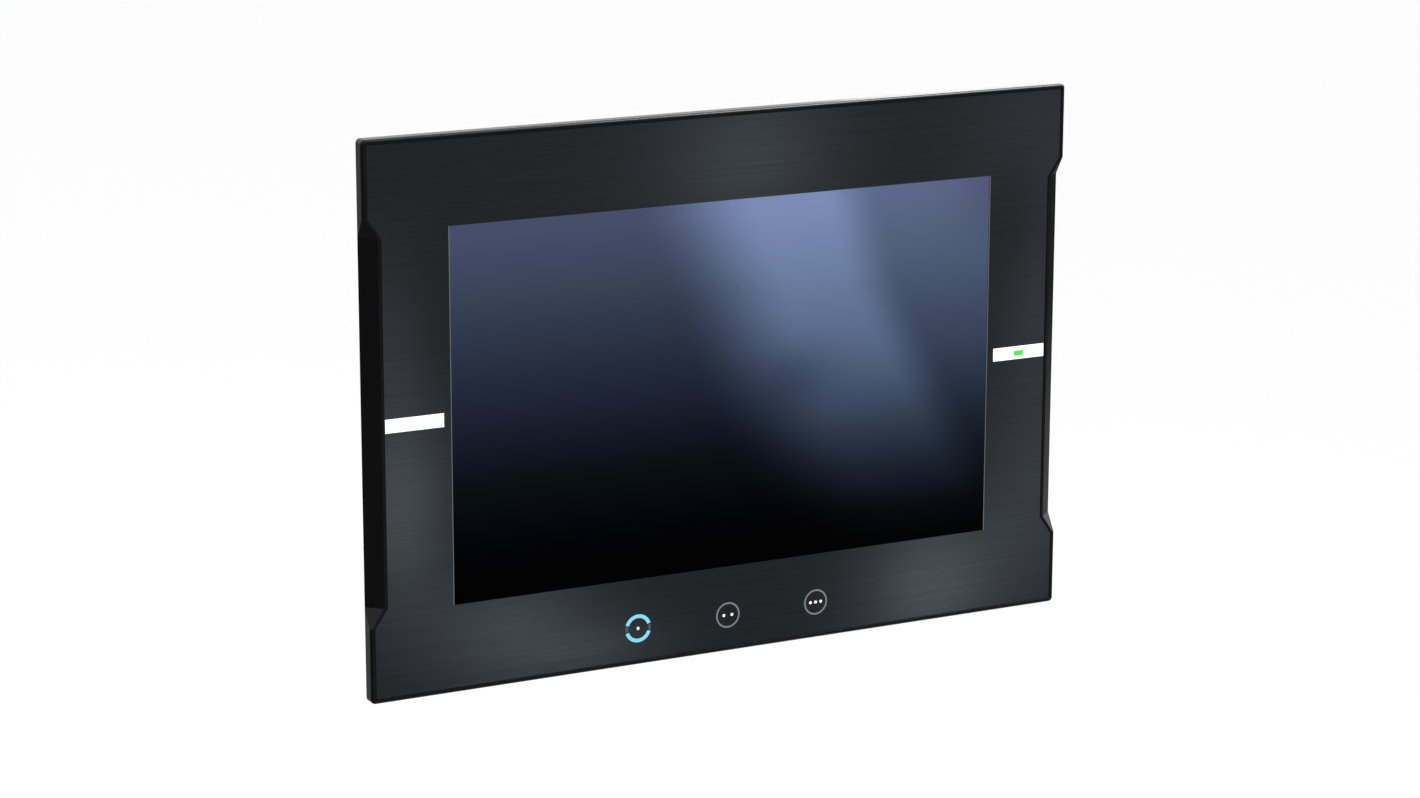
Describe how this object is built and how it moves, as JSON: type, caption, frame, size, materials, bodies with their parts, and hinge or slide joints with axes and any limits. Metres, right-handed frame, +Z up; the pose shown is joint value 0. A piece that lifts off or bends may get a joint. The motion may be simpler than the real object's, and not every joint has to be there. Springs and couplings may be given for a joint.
{
  "type": "hmi touch panel",
  "caption": "Panel-mounted touch screen with a brushed front film, lit touch keys under the screen, a stepped rear case with connectors, and screw clamps.",
  "frame": {"origin": "centre of the flange's rear face, on the plane of the cabinet's wall", "axes": "+Z up, the screen faces -Y, +X to the right of someone who looks at the screen"},
  "size_m": [0.34, 0.0692, 0.242],
  "materials": {
    "frame_black": "satin moulded",
    "brushed_film": "brushed graphite print under satin film",
    "screen_glass": "glossy dark",
    "white_print": "printed white",
    "ring_grey": "printed grey",
    "black_foam": "foam",
    "black_rubber": "matt",
    "zinc_steel": "zinc plated",
    "white_plastic": "smooth",
    "light_guide": "translucent",
    "circuit_board": "solder mask",
    "green_lens": "translucent",
    "ribbon_film": "smooth",
    "screw_steel": "zinc plated",
    "brass_parts": "turned",
    "chip_black": "moulded",
    "bare_aluminium": "extruded",
    "cover_grey": "fine texture",
    "label_silver": "blank label",
    "port_metal": "tin plated",
    "gold_contacts": "gold plated",
    "terminal_green": "moulded",
    "card_blue": "moulded",
    "button_red": "moulded",
    "battery_wrap": "shrink sleeve",
    "clamp_metal": "zinc plated"
  },
  "bodies": {
    "root": {"front_frame": "frame_black", "front_overlay": "brushed_film", "touch_sensor": "screen_glass", "display_gasket": "black_foam", "lcd_bezel": "zinc_steel", "lcd_cell": "screen_glass", "backlight": "white_plastic", "panel_seal": "black_rubber", "key_light_guides": "light_guide", "key_board": "circuit_board", "status_light_pipe": "green_lens", "status_board": "circuit_board", "key_ribbon": "ribbon_film", "touch_ribbon": "ribbon_film", "lcd_ribbon": "ribbon_film", "chassis_plate": "zinc_steel", "inner_screws": "screw_steel", "board_standoffs": "brass_parts", "main_board": "circuit_board", "processor": "chip_black", "heat_sink": "bare_aluminium", "memory_chips": "chip_black", "power_capacitors": "bare_aluminium", "rear_cover": "cover_grey", "cover_screws": "screw_steel", "threaded_inserts": "brass_parts", "rating_label": "label_silver", "ethernet_ports": "port_metal", "ethernet_contacts": "gold_contacts", "usb_ports": "port_metal", "usb_device_port": "port_metal", "usb_tongues": "white_plastic", "serial_shell": "port_metal", "serial_insert": "chip_black", "serial_posts": "screw_steel", "power_socket": "terminal_green", "power_pins": "port_metal", "card_socket": "port_metal", "reset_switch": "chip_black", "mode_switch": "chip_black", "connector_plate": "zinc_steel", "earth_screw": "screw_steel", "battery_well": "cover_grey", "battery_cell": "battery_wrap", "door_pin": "screw_steel", "clamp_brackets": "clamp_metal"},
    "plug": {"power_plug": "terminal_green", "terminal_screws": "screw_steel"},
    "card": {"memory_card": "card_blue"},
    "reset": {"reset_button": "button_red"},
    "mode": {"mode_slider": "white_plastic"},
    "door": {"battery_door": "cover_grey"},
    "foot_1": {"clamp_foot_1": "clamp_metal"},
    "turner_1": {"clamp_screw_1": "screw_steel"},
    "foot_2": {"clamp_foot_2": "clamp_metal"},
    "turner_2": {"clamp_screw_2": "screw_steel"},
    "foot_3": {"clamp_foot_3": "clamp_metal"},
    "turner_3": {"clamp_screw_3": "screw_steel"},
    "foot_4": {"clamp_foot_4": "clamp_metal"},
    "turner_4": {"clamp_screw_4": "screw_steel"}
  },
  "joints": [
    {"name": "plug_pull", "type": "slide", "parent": "root", "child": "plug", "axis": [0, 0, -1], "range_m": [0, 0.0095]},
    {"name": "card_pull", "type": "slide", "parent": "root", "child": "card", "axis": [0, 0, -1], "range_m": [0, 0.024]},
    {"name": "reset_press", "type": "slide", "parent": "root", "child": "reset", "axis": [0, 0, 1], "range_m": [0, 0.0005], "stiffness_N_per_m": 1500},
    {"name": "mode_slide", "type": "slide", "parent": "root", "child": "mode", "axis": [1, 0, 0], "range_m": [0, 0.003]},
    {"name": "door_swing", "type": "hinge", "parent": "root", "child": "door", "pos_m": [0.086, 0.0611, 0.0291], "axis": [1, 0, 0], "range_deg": [0, 95]},
    {"name": "clamp_feed_1", "type": "slide", "parent": "root", "child": "foot_1", "axis": [0, -1, 0], "range_m": [0, 0.005]},
    {"name": "clamp_turn_1", "type": "hinge", "parent": "foot_1", "child": "turner_1", "pos_m": [-0.128, 0.0066, -0.1131], "axis": [0, -1, 0], "range_deg": [0, 2572]},
    {"name": "clamp_feed_2", "type": "slide", "parent": "root", "child": "foot_2", "axis": [0, -1, 0], "range_m": [0, 0.005]},
    {"name": "clamp_turn_2", "type": "hinge", "parent": "foot_2", "child": "turner_2", "pos_m": [-0.128, 0.0066, 0.1131], "axis": [0, -1, 0], "range_deg": [0, 2572]},
    {"name": "clamp_feed_3", "type": "slide", "parent": "root", "child": "foot_3", "axis": [0, -1, 0], "range_m": [0, 0.005]},
    {"name": "clamp_turn_3", "type": "hinge", "parent": "foot_3", "child": "turner_3", "pos_m": [0.128, 0.0066, -0.1131], "axis": [0, -1, 0], "range_deg": [0, 2572]},
    {"name": "clamp_feed_4", "type": "slide", "parent": "root", "child": "foot_4", "axis": [0, -1, 0], "range_m": [0, 0.005]},
    {"name": "clamp_turn_4", "type": "hinge", "parent": "foot_4", "child": "turner_4", "pos_m": [0.128, 0.0066, 0.1131], "axis": [0, -1, 0], "range_deg": [0, 2572]}
  ],
  "couplings": [
    {"joint": "clamp_turn_1", "follows": "clamp_feed_1", "rad_per_m": 8976},
    {"joint": "clamp_turn_2", "follows": "clamp_feed_2", "rad_per_m": 8976},
    {"joint": "clamp_turn_3", "follows": "clamp_feed_3", "rad_per_m": 8976},
    {"joint": "clamp_turn_4", "follows": "clamp_feed_4", "rad_per_m": 8976}
  ]
}
